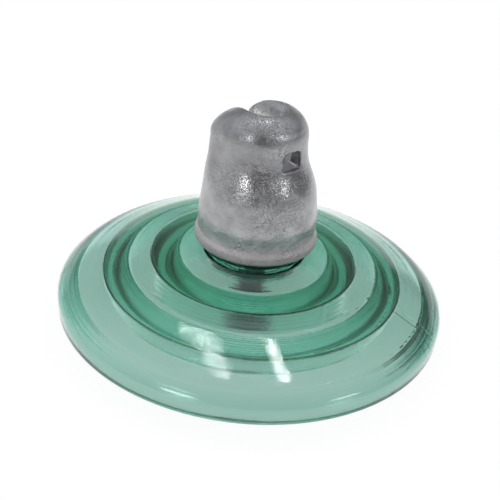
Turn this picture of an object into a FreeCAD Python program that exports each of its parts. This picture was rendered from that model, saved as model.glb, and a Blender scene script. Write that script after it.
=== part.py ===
# Cap-and-pin disc insulator with a toughened-glass shell, in millimetres.
# The frame's origin is the centre of the socket's ball seat, on the axis.
# +Z runs up the axis; the clip window faces +X and the ball goes in from -X.
import FreeCAD, Part
import math
import os

# Ball and socket coupling of 16 mm size
unit_spacing = 127.0
shank_d = 16.4
shank_play = 3.4
ball_d = 32.6
ball_play = 2.6
ball_h = 13.4
ball_seat_w = 5.1
ball_shoulder_drop = 3.6
ball_land_h = 4.6
ball_foot_d = 15.0
ball_round_r = 2.5
entry_play = 1.6
seat_rise = 5.0
seat_drop = 1.5
pocket_corner_r = 2.0

# Cap casting: the head round the socket
roof_h = 11.9
head_round_r = 18.0
head_straight_h = 1.6
wall_front = 7.6
wall_side = 10.4
wall_back = 11.0
head_squareness = 4.0
corner_softening = 2.0
head_top_back = 1.0
slot_lip_r = 7.0
slot_flare_w = 9.0
floor_t = 8.0

# Cap casting: the bell round the glass head
bell_r = 38.1
bell_wall = 4.0
bell_depth = 48.8
bell_narrowing_h = 52.0
bell_profile = ((0.15, 0.05), (0.30, 0.155), (0.45, 0.30), (0.60, 0.57), (0.75, 0.85), (0.90, 0.975))
bell_key_t = 0.8
bell_key_h = 25.0
mouth_flare = 1.1
lip_t = 1.7
lip_h = 7.6
lip_round_r = 1.6

# Clip window and locking clip
window_w = 15.0
window_h = 11.4
window_corner_r = 4.5
wire_d = 3.2
clip_gap = 0.2
clip_travel = 10.0
clip_stop_gap = 1.5
clip_recess = 1.6
clip_bend_r = 2.6
clip_arm_r = 5.0
clip_peak_x = 9.0
clip_arm_l = 31.2
clip_spread = 11.5
clip_tip_l = 5.0
clip_tip_turn_in = 2.0

# Glass shell: the head inside the cap
pad_t = 2.0
cap_cement_t = 2.9
crown_round_r = 12.0
crown_t = 15.0
bulb_h = 26.0
neck_in = 1.4
skirt_gap = 2.0
glass_round_r = 4.0
pin_hole_r = 20.6
pin_hole_round_r = 9.0
pin_hole_lip_t = 1.2
pin_hole_lip_h = 7.0

# Glass shell: the disc, with heights above the rim's lower edge
shell_h = 95.0
disc_d = 255.0
rim_w = 15.0
rim_tip_w = 8.0
rim_round_r = 2.5
rim_inner_round_r = 5.0
rim_edge_h = 12.6
rim_edge_r = 9.0
neck_gap = 4.2
plate_mid_r = 84.0
plate_mid_h = 35.0
plate_outer_r = 118.0
plate_outer_h = 20.4
plate_t = 9.2
plate_round_r = 60.0
plate_edge_round_r = 20.0

# Glass shell: the two ribs and the boss under the disc
outer_rib_r = 88.0
outer_rib_w = 12.4
outer_rib_tip_w = 8.0
outer_rib_h = 3.0
inner_rib_r = 57.2
inner_rib_w = 15.0
inner_rib_tip_w = 12.0
inner_rib_h = 1.0
groove_round_r = 3.0
boss_r = 31.0
boss_h = 24.5
boss_draft = 2.0

# Pin: the part held in the glass head
pin_pad_r = 10.0
pin_head_r = 14.6
pin_flat_h = 4.0
pin_cone_h = 8.0
pin_waist_r = 9.6
pin_step_h = 2.0
pin_collar_r = 12.6
pin_edge_r = 1.5
shank_round_r = 4.0
cement_recess = 2.0

# Sizes and levels worked out from the ones above
pocket_r = (ball_d + ball_play) / 2
slot_w = shank_d + shank_play
entry_h = ball_h + entry_play
head_front = pocket_r + wall_front
head_side = pocket_r + wall_side
head_back = pocket_r + wall_back
bore_r = bell_r - bell_wall
mouth_r = bore_r + mouth_flare
lip_r = bell_r + lip_t
glass_head_r = bore_r - cap_cement_t
glass_neck_r = glass_head_r - neck_in
skirt_r = mouth_r - skirt_gap
disc_r = disc_d / 2
floor_z = -entry_h - seat_rise
ceiling_z = floor_z - floor_t
mouth_z = ceiling_z - bell_depth
lip_top_z = mouth_z + lip_h
crown_z = ceiling_z - pad_t
rim_z = crown_z - shell_h
neck_z = crown_z - bulb_h
skirt_z = mouth_z - neck_gap
boss_z = rim_z + boss_h
hole_top_z = crown_z - crown_t
pin_top_z = hole_top_z - pad_t
clip_z = floor_z + clip_gap + wire_d / 2

ORIGIN = FreeCAD.Vector(0, 0, 0)
UP = FreeCAD.Vector(0, 0, 1)
BEYOND = disc_d
ELLIPSE = 2


def upright(r, z):
    return FreeCAD.Vector(r, 0, z)


def facing_x(y, z):
    return FreeCAD.Vector(0, y, z)


def line(start, end):
    return Part.LineSegment(start, end).toShape()


def rounded_outline(corners, place=upright):
    """Face inside corners of (across, up, corner radius), each radius limited by its edges."""
    spans = []
    for i, (across, up, radius) in enumerate(corners):
        corner = place(across, up)
        back = place(*corners[i - 1][:2]) - corner
        ahead = place(*corners[(i + 1) % len(corners)][:2]) - corner
        half_angle = back.getAngle(ahead) / 2
        room = 0.49 * min(back.Length, ahead.Length)
        setback = min(radius / math.tan(half_angle), room)
        back.normalize()
        ahead.normalize()
        middle = corner
        if setback > 0:
            bisector = (back + ahead).normalize()
            limited = setback * math.tan(half_angle)
            middle = corner + bisector * (limited / math.sin(half_angle) - limited)
        spans.append((corner + back * setback, middle, corner + ahead * setback))
    edges = []
    for i, (start, middle, end) in enumerate(spans):
        if (end - start).Length > 0:
            edges.append(Part.Arc(start, middle, end).toShape())
        next_start = spans[(i + 1) % len(spans)][0]
        edges.append(line(end, next_start))
    return Part.Face(Part.Wire(edges))


def turned(corners):
    """Solid turned about the axis from its half section."""
    return rounded_outline(corners).revolve(ORIGIN, UP, 360)


def disc(radius, low_z, high_z):
    return Part.makeCylinder(radius, high_z - low_z, FreeCAD.Vector(0, 0, low_z))


# Cap: a malleable-iron casting with an open socket above and a bell below
def head_section(z, front, side, back, squareness):
    """Closed curve at height z, elliptical in front and squarer at the back."""
    samples = 32
    points = []
    for i in range(samples):
        angle = 2 * math.pi * i / samples
        c = math.cos(angle)
        s = math.sin(angle)
        depth = front if c > 0 else back
        power = ELLIPSE if c > 0 else squareness
        radius = (abs(c / depth) ** power + abs(s / side) ** power) ** (-1 / power)
        points.append(FreeCAD.Vector(radius * c, radius * s, z))
    curve = Part.BSplineCurve()
    curve.interpolate(Points=points, PeriodicFlag=True)
    return Part.Wire(curve.toShape())


def cap_outside():
    """Head and bell in one smooth skin, waisted at the window and full at the ball entry."""
    round_z = roof_h - head_round_r
    waist_z = round_z - head_straight_h
    foot_z = waist_z - bell_narrowing_h
    sections = []
    for z in (mouth_z, (mouth_z + foot_z) / 2, foot_z):
        sections.append(head_section(z, bell_r, bell_r, bell_r, ELLIPSE))
    for height, share in bell_profile + ((1, 1),):
        front = bell_r - share * (bell_r - head_front)
        side = bell_r - share * (bell_r - head_side)
        back = bell_r - share * (bell_r - head_back)
        squareness = ELLIPSE + share ** 2 * (head_squareness - ELLIPSE)
        z = foot_z + height * bell_narrowing_h
        sections.append(head_section(z, front, side, back, squareness))
    steps = 6
    for i in range(steps + 1):
        angle = math.pi / 2 * i / steps
        share = 1 - math.cos(angle)
        inset = head_round_r * share
        back = head_back - (head_back - head_top_back) * share
        squareness = head_squareness - corner_softening * i / steps
        z = round_z + head_round_r * math.sin(angle)
        sections.append(head_section(z, head_front - inset, head_side - inset, back, squareness))
    return Part.makeLoft(sections, True, False, False, 3)


def lip_ring():
    """Thicker ring that ends the bell."""
    return turned((
        (mouth_r, mouth_z, 0),
        (lip_r, mouth_z, lip_round_r),
        (lip_r, lip_top_z - lip_t, lip_round_r),
        (bore_r, lip_top_z + bell_wall, 0),
        (mouth_r, lip_top_z, 0),
    ))


def bell_inside():
    """Hollow of the bell, stepped so that the cement is keyed."""
    key_z = ceiling_z - bell_key_h
    return turned((
        (0, mouth_z, 0),
        (mouth_r, mouth_z, 0),
        (mouth_r, lip_top_z - mouth_flare, mouth_flare),
        (bore_r, lip_top_z + mouth_flare, mouth_flare),
        (bore_r, key_z - bell_key_t, bell_key_t),
        (bore_r - bell_key_t, key_z + bell_key_t, bell_key_t),
        (bore_r - bell_key_t, ceiling_z, crown_round_r + pad_t),
        (0, ceiling_z, 0),
    ))


def shank_slot():
    """Slot for the shank above the seat, its lips rounded to let the shank swing."""
    w = slot_w / 2
    low_z = floor_z + entry_h - pocket_corner_r
    straight_z = roof_h - slot_lip_r
    bulge = slot_lip_r * (1 - math.sqrt(0.5))
    crest = w + slot_lip_r
    above = roof_h + slot_lip_r
    face = Part.Face(Part.Wire([
        line(upright(0, low_z), upright(w, low_z)),
        line(upright(w, low_z), upright(w, straight_z)),
        Part.Arc(upright(w, straight_z), upright(w + bulge, roof_h - bulge),
                 upright(crest, roof_h)).toShape(),
        line(upright(crest, roof_h), upright(crest, above)),
        line(upright(crest, above), upright(0, above)),
        line(upright(0, above), upright(0, low_z)),
    ]))
    ways_out = []
    for quarter_turn in (90, -90):
        side = face.copy()
        side.rotate(ORIGIN, UP, quarter_turn)
        ways_out.append(side.extrude(FreeCAD.Vector(-BEYOND, 0, 0)))
    return face.revolve(ORIGIN, UP, 360).fuse(ways_out)


def slot_flare():
    """Cone that widens the shank slot at its open end, more towards the top."""
    foot_r = slot_w / 2
    top_r = foot_r + slot_flare_w * (roof_h + slot_lip_r) / roof_h
    base = FreeCAD.Vector(-head_back, 0, 0)
    return Part.makeCone(foot_r, top_r, roof_h + slot_lip_r, base, UP)


def ball_pocket():
    """Round pocket under the seat, joined to the lower entry at -X."""
    pocket = turned((
        (0, floor_z, 0),
        (pocket_r, floor_z, pocket_corner_r),
        (pocket_r, -seat_drop, pocket_corner_r),
        (slot_w / 2, 0, 0),
        (0, 0, 0),
    ))
    entry = rounded_outline((
        (-pocket_r, floor_z, pocket_corner_r),
        (pocket_r, floor_z, pocket_corner_r),
        (pocket_r, floor_z + entry_h, pocket_corner_r),
        (-pocket_r, floor_z + entry_h, pocket_corner_r),
    ), facing_x).extrude(FreeCAD.Vector(-BEYOND, 0, 0))
    return pocket.fuse(entry)


def clip_window():
    """Arched window through the front wall, level with the pocket's floor."""
    w = window_w / 2
    return rounded_outline((
        (-w, floor_z, 0),
        (w, floor_z, 0),
        (w, floor_z + window_h, window_corner_r),
        (-w, floor_z + window_h, window_corner_r),
    ), facing_x).extrude(FreeCAD.Vector(BEYOND, 0, 0))


def make_cap():
    outside = cap_outside().fuse(lip_ring())
    hollows = [bell_inside(), shank_slot(), slot_flare(), ball_pocket(), clip_window()]
    return outside.cut(hollows)


# Glass shell: one pressed piece, a domed head over a ribbed disc
def plate_top_z(r):
    """Height of the disc's upper face, straight between its named stations."""
    stations = (
        (skirt_r, skirt_z),
        (plate_mid_r, rim_z + plate_mid_h),
        (plate_outer_r, rim_z + plate_outer_h),
    )
    (r0, z0), (r1, z1) = stations[:2] if r < plate_mid_r else stations[1:]
    return z0 + (z1 - z0) * (r - r0) / (r1 - r0)


def plate_under_z(r):
    return plate_top_z(r) - plate_t


def rib(centre_r, root_w, tip_w, tip_h):
    """Corners of one rib, from its outer root to its inner root."""
    outer_r = centre_r + root_w / 2
    inner_r = centre_r - root_w / 2
    return [
        (outer_r, plate_under_z(outer_r), groove_round_r),
        (centre_r + tip_w / 2, rim_z + tip_h, tip_w / 2),
        (centre_r - tip_w / 2, rim_z + tip_h, tip_w / 2),
        (inner_r, plate_under_z(inner_r), groove_round_r),
    ]


def glass_body():
    """Glass shell before its pin hole."""
    lip_root_r = disc_r - rim_w
    corners = [
        (0, crown_z, 0),
        (glass_head_r, crown_z, crown_round_r),
        (glass_head_r, neck_z, glass_round_r),
        (glass_neck_r, neck_z - glass_round_r, glass_round_r),
        (glass_neck_r, lip_top_z, glass_round_r),
        (skirt_r, mouth_z, glass_round_r),
        (skirt_r, skirt_z, glass_round_r),
        (plate_mid_r, rim_z + plate_mid_h, plate_round_r),
        (plate_outer_r, rim_z + plate_outer_h, plate_edge_round_r),
        (disc_r, rim_z + rim_edge_h, rim_edge_r),
        (disc_r, rim_z, rim_round_r),
        (disc_r - rim_tip_w, rim_z, rim_inner_round_r),
        (lip_root_r, plate_under_z(lip_root_r), groove_round_r),
    ]
    corners += rib(outer_rib_r, outer_rib_w, outer_rib_tip_w, outer_rib_h)
    corners += rib(inner_rib_r, inner_rib_w, inner_rib_tip_w, inner_rib_h)
    corners += [
        (boss_r, plate_under_z(boss_r), groove_round_r),
        (boss_r - boss_draft, boss_z, groove_round_r),
        (0, boss_z, 0),
    ]
    return turned(corners)


def pin_hole():
    """Hollow of the glass head that the pin is cemented into, with a lip at its mouth."""
    lip_r = pin_hole_r - pin_hole_lip_t
    lip_top = boss_z + pin_hole_lip_h
    return turned((
        (0, boss_z, 0),
        (lip_r, boss_z, 0),
        (lip_r, lip_top - pin_hole_lip_t, glass_round_r),
        (pin_hole_r, lip_top + pin_hole_lip_t, glass_round_r),
        (pin_hole_r, hole_top_z, pin_hole_round_r),
        (0, hole_top_z, 0),
    ))


def make_glass_shell():
    return glass_body().cut(pin_hole())


# Pin: forged steel, keyed in its cement by two cones, ending in the ball
def make_pin():
    shank_r = shank_d / 2
    ball_r = ball_d / 2
    seat_z = -unit_spacing
    head_z = pin_top_z - pin_flat_h
    waist_z = head_z - pin_cone_h
    collar_z = waist_z - pin_step_h
    collar_foot_z = collar_z - pin_flat_h
    land_z = seat_z - ball_shoulder_drop
    return turned((
        (0, pin_top_z, 0),
        (pin_head_r, pin_top_z, pin_edge_r),
        (pin_head_r, head_z, pin_edge_r),
        (pin_waist_r, waist_z, pin_edge_r),
        (pin_collar_r, collar_z, pin_edge_r),
        (pin_collar_r, collar_foot_z, pin_edge_r),
        (shank_r, collar_foot_z - pin_cone_h, shank_round_r),
        (shank_r, seat_z, shank_round_r),
        (shank_r + ball_seat_w, seat_z - seat_drop / 2, pin_edge_r),
        (ball_r, land_z, pin_edge_r),
        (ball_r, land_z - ball_land_h, ball_round_r),
        (ball_foot_d / 2, seat_z - ball_h, ball_round_r),
        (0, seat_z - ball_h, 0),
    ))


# Cushions and cements between the metal and the glass
def make_cap_pad():
    return disc(glass_head_r - crown_round_r, crown_z, ceiling_z)


def make_pin_pad():
    return disc(pin_pad_r, pin_top_z, hole_top_z)


def make_cap_cement(pad):
    recess = disc(lip_r, mouth_z - cement_recess, mouth_z + cement_recess)
    return bell_inside().cut([glass_body(), pad, recess])


def make_pin_cement(pin, pad):
    recess = disc(pin_hole_r, boss_z - cement_recess, boss_z + cement_recess)
    return pin_hole().cut([pin, pad, recess])


# Locking clip: one bent wire that slides on the pocket's floor through the window
def clip_route():
    """Corners of the wire's centre line in plan with their bend radii, a flat W."""
    leg_y = window_w / 2 - clip_gap - wire_d / 2
    outer_x = head_front - clip_recess - wire_d / 2
    tip_x = outer_x - clip_arm_l
    half = [
        (tip_x, clip_spread - clip_tip_turn_in, 0),
        (tip_x + clip_tip_l, clip_spread, clip_arm_r),
        (pocket_r - clip_travel - clip_stop_gap - wire_d / 2, leg_y, clip_arm_r),
        (outer_x, leg_y, clip_bend_r),
        (clip_peak_x, 0, clip_bend_r),
    ]
    return half + [(x, -y, radius) for x, y, radius in reversed(half[:-1])]


def make_locking_clip():
    route = clip_route()
    points = [FreeCAD.Vector(x, y, clip_z) for x, y, radius in route]
    edges = []
    start = points[0]
    for i in range(1, len(points) - 1):
        radius = route[i][2]
        back = points[i - 1] - points[i]
        ahead = points[i + 1] - points[i]
        half_angle = back.getAngle(ahead) / 2
        setback = radius / math.tan(half_angle)
        back.normalize()
        ahead.normalize()
        bisector = (back + ahead).normalize()
        middle = points[i] + bisector * (radius / math.sin(half_angle) - radius)
        bend_start = points[i] + back * setback
        edges.append(line(start, bend_start))
        start = points[i] + ahead * setback
        edges.append(Part.Arc(bend_start, middle, start).toShape())
    edges.append(line(start, points[-1]))
    section = Part.Wire(Part.makeCircle(wire_d / 2, points[0], points[1] - points[0]))
    return Part.Wire(edges).makePipeShell([section], True, True)


cap = make_cap()
glass_shell = make_glass_shell()
pin = make_pin()
cap_pad = make_cap_pad()
pin_pad = make_pin_pad()
pieces = {
    "cap": cap,
    "glass_shell": glass_shell,
    "pin": pin,
    "cap_pad": cap_pad,
    "pin_pad": pin_pad,
    "cap_cement": make_cap_cement(cap_pad),
    "pin_cement": make_pin_cement(pin, pin_pad),
    "locking_clip": make_locking_clip(),
}
os.makedirs("parts", exist_ok=True)
for node, shape in pieces.items():
    shape.Solids[0].exportStep(f"parts/{node}.step")
    print(node, len(shape.Solids), shape.isValid(), round(shape.Volume / 1000, 1))
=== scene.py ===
import math

import bpy
from mathutils import Matrix, Vector


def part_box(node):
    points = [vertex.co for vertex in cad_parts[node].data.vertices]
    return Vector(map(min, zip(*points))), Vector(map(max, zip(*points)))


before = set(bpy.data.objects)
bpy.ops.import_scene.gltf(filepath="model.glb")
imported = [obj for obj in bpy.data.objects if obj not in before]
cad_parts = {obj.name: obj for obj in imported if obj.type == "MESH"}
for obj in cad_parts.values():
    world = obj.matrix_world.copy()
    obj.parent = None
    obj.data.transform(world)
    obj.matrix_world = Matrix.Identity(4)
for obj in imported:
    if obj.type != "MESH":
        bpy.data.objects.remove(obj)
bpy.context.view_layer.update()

scene = bpy.context.scene


# Camera: the photograph's view of the insulator, a third of the way down from the
# horizon and half a metre off, between the clip window and the right-hand side.
camera_side = Matrix.Rotation(math.radians(45), 3, "Z")
to_camera = camera_side @ Vector((0, -1, 0))
to_left = camera_side @ Vector((-1, 0, 0))


def look_from(away, height, pitch, roll, yaw):
    forward = camera_side @ Vector((math.sin(yaw) * math.cos(pitch), math.cos(yaw) * math.cos(pitch),
                                    -math.sin(pitch)))
    right = camera_side @ Vector((math.cos(yaw), -math.sin(yaw), 0))
    up = right.cross(forward)
    tilted_right = math.cos(roll) * right + math.sin(roll) * up
    tilted_up = math.cos(roll) * up - math.sin(roll) * right
    camera = bpy.data.objects.new("camera", bpy.data.cameras.new("camera"))
    camera.location = camera_side @ Vector((0, -away, height))
    camera.rotation_euler = Matrix((tilted_right, tilted_up, -forward)).transposed().to_euler()
    camera.data.sensor_width = 36
    camera.data.lens = 57.6
    camera.data.clip_start = 0.01
    scene.collection.objects.link(camera)
    scene.camera = camera


look_from(away=0.4561, height=0.1797, pitch=math.radians(30.439), roll=math.radians(5.481),
          yaw=math.radians(-0.328))


# Glass shell: soda-lime glass pressed in a mould and toughened, faintly sea-green all
# through its body. The mould leaves turning marks on the underside, a fine seam at the
# plate's edge and a skin like orange peel.
def new_finish(name):
    """Material that has nothing but its output, and the tree that it is built in."""
    finish = bpy.data.materials.new(name)
    finish.use_nodes = True
    tree = finish.node_tree
    tree.nodes.clear()
    return finish, tree, tree.nodes.new("ShaderNodeOutputMaterial")


def skin_of(tree, output, looks):
    """Outer skin that has these looks all over, and its sockets for what varies."""
    skin = tree.nodes.new("ShaderNodeBsdfPrincipled")
    for look, value in looks.items():
        skin.inputs[look].default_value = value
    tree.links.new(skin.outputs["BSDF"], output.inputs["Surface"])
    return skin.inputs


def place_on_piece(tree):
    """Place in metres from the piece's origin, which is the ball seat's centre on the insulator."""
    return tree.nodes.new("ShaderNodeTexCoord").outputs["Object"]


def axes_of(tree, place):
    split = tree.nodes.new("ShaderNodeSeparateXYZ")
    tree.links.new(place, split.inputs["Vector"])
    return split.outputs


def off_axis(tree, place):
    """Distance of a place from the insulator's axis."""
    level = tree.nodes.new("ShaderNodeVectorMath")
    level.operation = "MULTIPLY"
    level.inputs[1].default_value = (1, 1, 0)
    tree.links.new(place, level.inputs[0])
    distance = tree.nodes.new("ShaderNodeVectorMath")
    distance.operation = "LENGTH"
    tree.links.new(level.outputs["Vector"], distance.inputs[0])
    return distance.outputs["Value"]


def along(tree, place, direction):
    """How far a place lies in one direction."""
    reach = tree.nodes.new("ShaderNodeVectorMath")
    reach.operation = "DOT_PRODUCT"
    reach.inputs[1].default_value = direction
    tree.links.new(place, reach.inputs[0])
    return reach.outputs["Value"]


def arithmetic(tree, operation, *values):
    step = tree.nodes.new("ShaderNodeMath")
    step.operation = operation
    for socket, value in zip(step.inputs, values):
        if isinstance(value, (int, float)):
            socket.default_value = value
        else:
            tree.links.new(value, socket)
    return step.outputs["Value"]


def graded(tree, value, low, high, at_low=0, at_high=1):
    """Even change from one strength to another while a value goes from low to high."""
    grade = tree.nodes.new("ShaderNodeMapRange")
    grade.inputs["From Min"].default_value = low
    grade.inputs["From Max"].default_value = high
    grade.inputs["To Min"].default_value = at_low
    grade.inputs["To Max"].default_value = at_high
    tree.links.new(value, grade.inputs["Value"])
    return grade.outputs["Result"]


def speckle(tree, place, cells, detail, roughness=0.5):
    """Uneven pattern of so many cells to the metre."""
    pattern = tree.nodes.new("ShaderNodeTexNoise")
    pattern.inputs["Scale"].default_value = cells
    pattern.inputs["Detail"].default_value = detail
    pattern.inputs["Roughness"].default_value = roughness
    tree.links.new(place, pattern.inputs["Vector"])
    return pattern.outputs["Fac"]


def relief(tree, height, depth, over=None):
    """Marks so many metres deep, over coarser ones if there are any."""
    marks = tree.nodes.new("ShaderNodeBump")
    marks.inputs["Distance"].default_value = depth
    tree.links.new(height, marks.inputs["Height"])
    if over:
        tree.links.new(over, marks.inputs["Normal"])
    return marks.outputs["Normal"]


def coat(piece, finish):
    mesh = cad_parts[piece].data
    mesh.materials.clear()
    mesh.materials.append(finish)


glass, tree, output = new_finish("sea_green_glass")
skin = skin_of(tree, output, {"Base Color": (1, 1, 1, 1), "Transmission Weight": 1, "Roughness": 0.02,
                              "IOR": 1.52})
body = tree.nodes.new("ShaderNodeVolumeAbsorption")
body.inputs["Color"].default_value = (0.24, 0.80, 0.665, 1)
body.inputs["Density"].default_value = 62
tree.links.new(body.outputs["Volume"], output.inputs["Volume"])

# The disc's upper face is two cones, a flat one round the neck and a steeper one
# outside it. The turning marks start a few millimetres under them.
neck_slope = -0.18
neck_apex = -0.0751
disc_slope = -0.43
disc_apex = -0.0539
first_mark = 0.003
full_marks = 0.006
place = place_on_piece(tree)
axes = axes_of(tree, place)
radius = off_axis(tree, place)
neck_cone = arithmetic(tree, "MULTIPLY_ADD", radius, neck_slope, neck_apex)
disc_cone = arithmetic(tree, "MULTIPLY_ADD", radius, disc_slope, disc_apex)
upper_face = arithmetic(tree, "MINIMUM", neck_cone, disc_cone)
below_face = arithmetic(tree, "SUBTRACT", upper_face, axes["Z"])
underside = graded(tree, below_face, first_mark, full_marks)

mark_slant = 1.3
down_the_ribs = arithmetic(tree, "MULTIPLY_ADD", axes["Z"], mark_slant, radius)
turned = tree.nodes.new("ShaderNodeTexNoise")
turned.noise_dimensions = "1D"
turned.inputs["Scale"].default_value = 650
turned.inputs["Detail"].default_value = 3
tree.links.new(down_the_ribs, turned.inputs["W"])
turning = relief(tree, arithmetic(tree, "MULTIPLY", turned.outputs["Fac"], underside), depth=0.00018)

seam_turn = math.radians(22.4)
seam_half_width = 0.0006
seam_start = 0.086
seam_full = 0.092
across_seam = (-math.sin(seam_turn), math.cos(seam_turn), 0)
from_seam = arithmetic(tree, "ABSOLUTE", along(tree, place, across_seam))
fin = graded(tree, from_seam, 0, seam_half_width, 1, 0)
plate_edge = graded(tree, axes["X"], seam_start, seam_full)
seam = relief(tree, arithmetic(tree, "MULTIPLY", fin, plate_edge), depth=0.00012, over=turning)

waves = relief(tree, speckle(tree, place, cells=70, detail=1), depth=0.00006, over=seam)
rougher_below = arithmetic(tree, "MULTIPLY_ADD", underside, 2, 1)
orange_peel = arithmetic(tree, "MULTIPLY", speckle(tree, place, cells=1400, detail=1), rougher_below)
tree.links.new(relief(tree, orange_peel, depth=0.000014, over=waves), skin["Normal"])
coat("glass_shell", glass)


# Cap: malleable iron cast in sand, then hot-dip galvanised. The zinc rounds every
# edge, keeps the lumps of the sand, is mottled in dull, bright and pitted patches and
# creased round the shoulder, and leaves pale dross on the lip that drains last.
def grey(tone, blue=1.02):
    return (tone, tone, tone * blue)


def shades(tree, value, stops):
    """Colour that goes through these tones, each at its own value."""
    scale = tree.nodes.new("ShaderNodeValToRGB")
    elements = scale.color_ramp.elements
    while len(elements) < len(stops):
        elements.new(0.5)
    for element, (at, tone) in zip(elements, stops):
        element.position = at
        element.color = (*tone, 1)
    tree.links.new(value, scale.inputs["Fac"])
    return scale.outputs["Color"]


def tinted(tree, share, ground, tint):
    """Ground colour changed by a share into a tint, which is one tone or a pattern of tones."""
    mix = tree.nodes.new("ShaderNodeMix")
    mix.data_type = "RGBA"
    tree.links.new(share, mix.inputs["Factor"])
    tree.links.new(ground, mix.inputs["A"])
    if isinstance(tint, tuple):
        mix.inputs["B"].default_value = (*tint, 1)
    else:
        tree.links.new(tint, mix.inputs["B"])
    return mix.outputs["Result"]


lip_bottom = -0.077
lip_top = -0.069
bell_foot = -0.0675
bell_top = -0.045
head_bottom = -0.020
shoulder = -0.028
crown = 0.012
pocket_radius = 0.0235
pocket_wall = 0.0245
pocket_roof = 0.003
lip_dross = (0.49, 0.465, 0.47)
zinc, tree, output = new_finish("galvanised_casting")
skin = skin_of(tree, output, {"Metallic": 0.9})
place = place_on_piece(tree)
axes = axes_of(tree, place)

mottle = speckle(tree, place, cells=50, detail=5, roughness=0.6)
# The head's tones are darker than the bell's: painted shade for the dimmer light that the head reflects.
shaded_head_zinc = shades(tree, mottle, ((0.34, grey(0.24)), (0.5, grey(0.30)), (0.66, grey(0.38))))
bell_zinc = shades(tree, mottle, ((0.34, grey(0.30)), (0.5, grey(0.37)), (0.66, grey(0.44))))
outer_zinc = tinted(tree, graded(tree, axes["Z"], bell_top, head_bottom), bell_zinc, shaded_head_zinc)
# Inside the ball pocket the zinc is painted pale: painted light in that shaded recess.
within_wall = graded(tree, off_axis(tree, place), pocket_radius, pocket_wall, 1, 0)
under_roof = graded(tree, axes["Z"], 0, pocket_roof, 1, 0)
in_pocket = arithmetic(tree, "MULTIPLY", within_wall, under_roof)
zinc_with_pocket_light = tinted(tree, in_pocket, outer_zinc, grey(0.62))
on_lip = graded(tree, axes["Z"], lip_top, bell_foot, 1, 0)
drained_zinc = tinted(tree, on_lip, zinc_with_pocket_light, lip_dross)
pits = graded(tree, speckle(tree, place, cells=1000, detail=1, roughness=0.6), 0.48, 0.66)
pit_patches = graded(tree, speckle(tree, place, cells=45, detail=2), 0.46, 0.6, 0.25, 1)
pitted = arithmetic(tree, "MULTIPLY", pits, pit_patches)
# The pits are also painted darker: painted shade in them, on top of their relief.
painted_pit_shade = arithmetic(tree, "MULTIPLY", pitted, 0.5)
tree.links.new(tinted(tree, painted_pit_shade, drained_zinc, grey(0.15)), skin["Base Color"])

up_the_cap = graded(tree, axes["Z"], lip_bottom, crown)
dull_by_height = ((0.08, 0.6), (0.14, 0.32), (0.48, 0.29), (0.53, 0.27), (0.60, 0.27), (0.70, 0.3),
                  (0.82, 0.32))
dullness = shades(tree, up_the_cap, [(height, grey(dull, blue=1)) for height, dull in dull_by_height])
tree.links.new(dullness, skin["Roughness"])

creased = tree.nodes.new("ShaderNodeTexNoise")
creased.noise_type = "RIDGED_MULTIFRACTAL"
creased.inputs["Scale"].default_value = 560
creased.inputs["Detail"].default_value = 2
tree.links.new(place, creased.inputs["Vector"])
from_shoulder = arithmetic(tree, "ABSOLUTE", arithmetic(tree, "SUBTRACT", axes["Z"], shoulder))
by_shoulder = graded(tree, from_shoulder, 0.004, 0.024, 1, 0.35)
window_corner = (0.79, -0.61, 0)
by_window = graded(tree, along(tree, place, window_corner), 0.010, 0.034, 0.3, 1)
crease_zone = arithmetic(tree, "MULTIPLY", by_shoulder, by_window)
creases = relief(tree, arithmetic(tree, "MULTIPLY", creased.outputs["Fac"], crease_zone), depth=0.00012)
wrinkles = relief(tree, speckle(tree, place, cells=330, detail=3, roughness=0.6), depth=0.00018, over=creases)
tree.links.new(relief(tree, pitted, depth=-0.0002, over=wrinkles), skin["Normal"])
coat("cap", zinc)

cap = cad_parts["cap"]
zinc_skin = cap.modifiers.new("zinc_skin", "REMESH")
zinc_skin.mode = "VOXEL"
zinc_skin.voxel_size = 0.00075
zinc_skin.use_smooth_shade = True
run_off = cap.modifiers.new("run_off", "SMOOTH")
run_off.factor = 0.5
run_off.iterations = 1
sand = bpy.data.textures.new("sand", "CLOUDS")
sand.noise_scale = 0.006
sand.noise_depth = 2
lumps = cap.modifiers.new("lumps", "DISPLACE")
lumps.texture = sand
lumps.texture_coords = "LOCAL"
lumps.strength = 0.0004
lumps.mid_level = 0.5


# Pin: forged steel with the same zinc coat, smoother and darker than the casting's.
# Its keyed head is cemented into the glass, and the ball hangs free below.
def speckled_finish(name, looks, tones, grain, depth, relief_grain=None):
    """Finish of uneven tone and fine relief, from one grain or from one for each."""
    finish, tree, output = new_finish(name)
    skin = skin_of(tree, output, looks)
    place = place_on_piece(tree)
    tree.links.new(shades(tree, speckle(tree, place, **grain), tones), skin["Base Color"])
    height = speckle(tree, place, **(relief_grain or grain))
    tree.links.new(relief(tree, height, depth), skin["Normal"])
    return finish


steel = speckled_finish("galvanised_forging", {"Metallic": 0.8, "Roughness": 0.45},
                        tones=((0.3, grey(0.08)), (0.7, grey(0.14))),
                        grain={"cells": 120, "detail": 3}, depth=0.00015,
                        relief_grain={"cells": 400, "detail": 4, "roughness": 0.6})
coat("pin", steel)


# Cements: grey mortar poured between the metal and the glass, sandy and matt. It wets
# the glass, so its skin lies a hair inside the glass instead of level with it.
mortar = speckled_finish("grey_mortar", {"Roughness": 0.95},
                         tones=((0.3, (0.10, 0.098, 0.092)), (0.7, (0.19, 0.185, 0.17))),
                         grain={"cells": 500, "detail": 5, "roughness": 0.7}, depth=0.0003)
for cement in ("cap_cement", "pin_cement"):
    coat(cement, mortar)
    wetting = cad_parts[cement].modifiers.new("wetting", "DISPLACE")
    wetting.strength = 0.00015
    wetting.mid_level = 0


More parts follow.
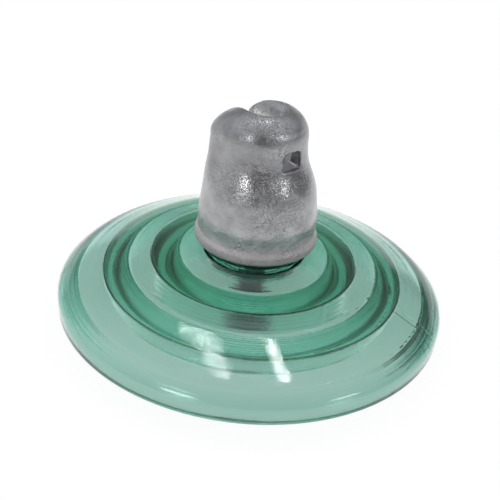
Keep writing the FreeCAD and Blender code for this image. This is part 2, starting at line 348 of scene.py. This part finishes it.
# Cushions: thin discs of cork, speckled brown, laid between the metal and the glass
# at both ends of the glass head so that they never press on each other.
cork = speckled_finish("cork_board", {"Roughness": 0.9},
                       tones=((0.35, (0.10, 0.055, 0.03)), (0.6, (0.35, 0.22, 0.12))),
                       grain={"cells": 700, "detail": 2}, depth=0.0002)
for cushion in ("cap_pad", "pin_pad"):
    coat(cushion, cork)


# Locking clip: stainless wire, drawn smooth and bent to a flat W. It lies loose in
# the socket and slides out through the window in the cap.
wire = speckled_finish("drawn_wire", {"Metallic": 1, "Roughness": 0.25},
                       tones=((0.3, (0.45, 0.44, 0.42)), (0.7, (0.62, 0.61, 0.58))),
                       grain={"cells": 400, "detail": 3}, depth=0.00005)
coat("locking_clip", wire)


# Floor: a plain pale table just under the ball, nearly white to the camera and with
# the insulator's soft shadow. Metal sees it glowing bright near by and greyer far off,
# a painted pool of light. Glass sees it glowing pale green-grey, painted light tinted
# by the glass, and darker in a painted shadow ring round the disc.
def painted(tree, tone, light, share):
    """Paint that also glows in its own tone, by a share of so much light."""
    paint = tree.nodes.new("ShaderNodeBsdfDiffuse")
    glow = tree.nodes.new("ShaderNodeEmission")
    glow.inputs["Strength"].default_value = light
    for socket in (paint.inputs["Color"], glow.inputs["Color"]):
        if isinstance(tone, tuple):
            socket.default_value = (*tone, 1)
        else:
            tree.links.new(tone, socket)
    both = tree.nodes.new("ShaderNodeMixShader")
    both.inputs["Fac"].default_value = share
    tree.links.new(paint.outputs["BSDF"], both.inputs[1])
    tree.links.new(glow.outputs["Emission"], both.inputs[2])
    return both.outputs["Shader"]


def either(tree, choice, otherwise, chosen):
    mix = tree.nodes.new("ShaderNodeMixShader")
    tree.links.new(choice, mix.inputs["Fac"])
    tree.links.new(otherwise, mix.inputs[1])
    tree.links.new(chosen, mix.inputs[2])
    return mix.outputs["Shader"]


table, tree, output = new_finish("pale_table")
place = place_on_piece(tree)
radius = off_axis(tree, place)
# Painted shadow: a ring round the disc, deepest on the window's half, darkens what the glass sees.
beyond_disc = graded(tree, radius, 0.125, 0.14)
near_disc = graded(tree, radius, 0.22, 0.35, 1, 0)
window_half = graded(tree, axes_of(tree, place)["X"], -0.10, 0.10, 0.25, 0.85)
shade = arithmetic(tree, "MULTIPLY", arithmetic(tree, "MULTIPLY", beyond_disc, near_disc), window_half)
# Painted light tinted green by the glass, paler towards the camera.
nearness = graded(tree, along(tree, place, to_camera), 0, 0.09)
painted_glass_light = shades(tree, nearness, ((0, (0.66, 0.79, 0.73)), (1, (0.92, 0.95, 0.93))))
# Painted pool of light for metal: the floor glows brighter near the insulator than far off.
far_off = graded(tree, radius, 0.3, 1.2)
painted_light_near_by = shades(tree, far_off, ((0, (1, 1, 1)), (1, (0.8, 0.8, 0.8))))
to_metal = painted(tree, painted_light_near_by, light=1.45, share=0.7)
to_glass = painted(tree, tinted(tree, shade, painted_glass_light, (0, 0, 0)), light=0.77, share=0.5)
to_eye = painted(tree, (1, 1, 1), light=1.03, share=0.9)
path = tree.nodes.new("ShaderNodeLightPath").outputs
to_pieces = either(tree, path["Is Transmission Ray"], to_metal, to_glass)
tree.links.new(either(tree, path["Is Camera Ray"], to_pieces, to_eye), output.inputs["Surface"])

half_side = 3
gap_under_ball = 0.0005
floor_mesh = bpy.data.meshes.new("floor")
floor_mesh.from_pydata([(-half_side, -half_side, 0), (half_side, -half_side, 0),
                        (half_side, half_side, 0), (-half_side, half_side, 0)],
                       [], [(0, 1, 2, 3)])
floor_mesh.materials.append(table)
floor = bpy.data.objects.new("floor", floor_mesh)
floor.location.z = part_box("pin")[0].z - gap_under_ball
scene.collection.objects.link(floor)


# Room: white to the camera. Glass and metal see a ceiling that is light overhead, a
# white sweep low behind the insulator with a dim wall above it, a lighter wall on the
# left, and walls behind the camera and towards the window that are dim near the floor.
world = bpy.data.worlds.new("studio")
scene.world = world
world.use_nodes = True
tree = world.node_tree
tree.nodes.clear()
output = tree.nodes.new("ShaderNodeOutputWorld")
white = tree.nodes.new("ShaderNodeBackground")
white.inputs["Color"].default_value = (1, 1, 1, 1)
room = tree.nodes.new("ShaderNodeBackground")
room.inputs["Color"].default_value = (0.95, 0.97, 1, 1)
direction = tree.nodes.new("ShaderNodeTexCoord").outputs["Generated"]
axes = axes_of(tree, direction)
overhead = graded(tree, axes["Z"], 0, 1, 0.65, 1)
near_floor = graded(tree, axes["Z"], 0.15, 0.45, 1, 0)
window_half = graded(tree, axes["X"], -0.7, 0, 0, 0.85)
out_of_shade = arithmetic(tree, "SUBTRACT", 1, arithmetic(tree, "MULTIPLY", near_floor, window_half))
front_wall = graded(tree, along(tree, direction, to_camera), 0.2, 0.8, 1, 0.3)
left_wall = graded(tree, along(tree, direction, to_left), 0.4, 0.9, 1, 1.35)
rear = graded(tree, along(tree, direction, -to_camera), 0.3, 0.7)
rear_wall = arithmetic(tree, "MULTIPLY_ADD", rear, -0.45, 1)
walls = overhead
for change in (out_of_shade, front_wall, left_wall, rear_wall):
    walls = arithmetic(tree, "MULTIPLY", walls, change)
sweep = arithmetic(tree, "MULTIPLY", rear, graded(tree, axes["Z"], 0.15, 0.25, 1, 0))
tree.links.new(arithmetic(tree, "MAXIMUM", walls, sweep), room.inputs["Strength"])
path = tree.nodes.new("ShaderNodeLightPath").outputs
seen = either(tree, path["Is Camera Ray"], room.outputs["Background"], white.outputs["Background"])
tree.links.new(seen, output.inputs["Surface"])


# Lamps: two long tubes side by side in the ceiling, which make the streaks on the
# disc, and a window on either side behind the camera, which light the cap's shoulder.
def panel_lamp(name, shape, place, turn, length, width, watts):
    light = bpy.data.lights.new(name, "AREA")
    light.shape = shape
    light.size = length
    light.size_y = width
    light.energy = watts
    lamp = bpy.data.objects.new(name, light)
    lamp.location = place
    lamp.rotation_euler = turn
    scene.collection.objects.link(lamp)


def tube_lamp(name, start, end, width, watts):
    """Tube at ceiling height between two places given across and away from the camera's side."""
    ceiling = 1.5
    first = camera_side @ Vector((*start, ceiling))
    last = camera_side @ Vector((*end, ceiling))
    run = last - first
    turn = (0, 0, math.atan2(run.y, run.x))
    panel_lamp(name, "RECTANGLE", (first + last) / 2, turn, run.length, width, watts)


def window(name, round_from_camera, rise, width, height, watts):
    """Window that faces the cap, so far round and so far up as seen from the ball seat."""
    distance = 1.6
    cap_middle = Vector((0, 0, -0.03))
    across = distance * math.cos(rise) * math.sin(round_from_camera)
    away = -distance * math.cos(rise) * math.cos(round_from_camera)
    place = camera_side @ Vector((across, away, distance * math.sin(rise)))
    turn = (cap_middle - place).to_track_quat("-Z", "Y").to_euler()
    panel_lamp(name, "ELLIPSE", place, turn, width, height, watts)


tube_lamp("tube_left", start=(-0.64, 0.30), end=(-0.10, -0.015), width=0.012, watts=0.9)
tube_lamp("tube_right", start=(0.10, 0.205), end=(0.40, 0.02), width=0.018, watts=1.2)
window("window_left", round_from_camera=math.radians(-32), rise=math.radians(19), width=0.5, height=0.3,
       watts=4.2)
window("window_right", round_from_camera=math.radians(57), rise=math.radians(21), width=0.45, height=0.27,
       watts=2.2)

scene.view_settings.view_transform = "Standard"
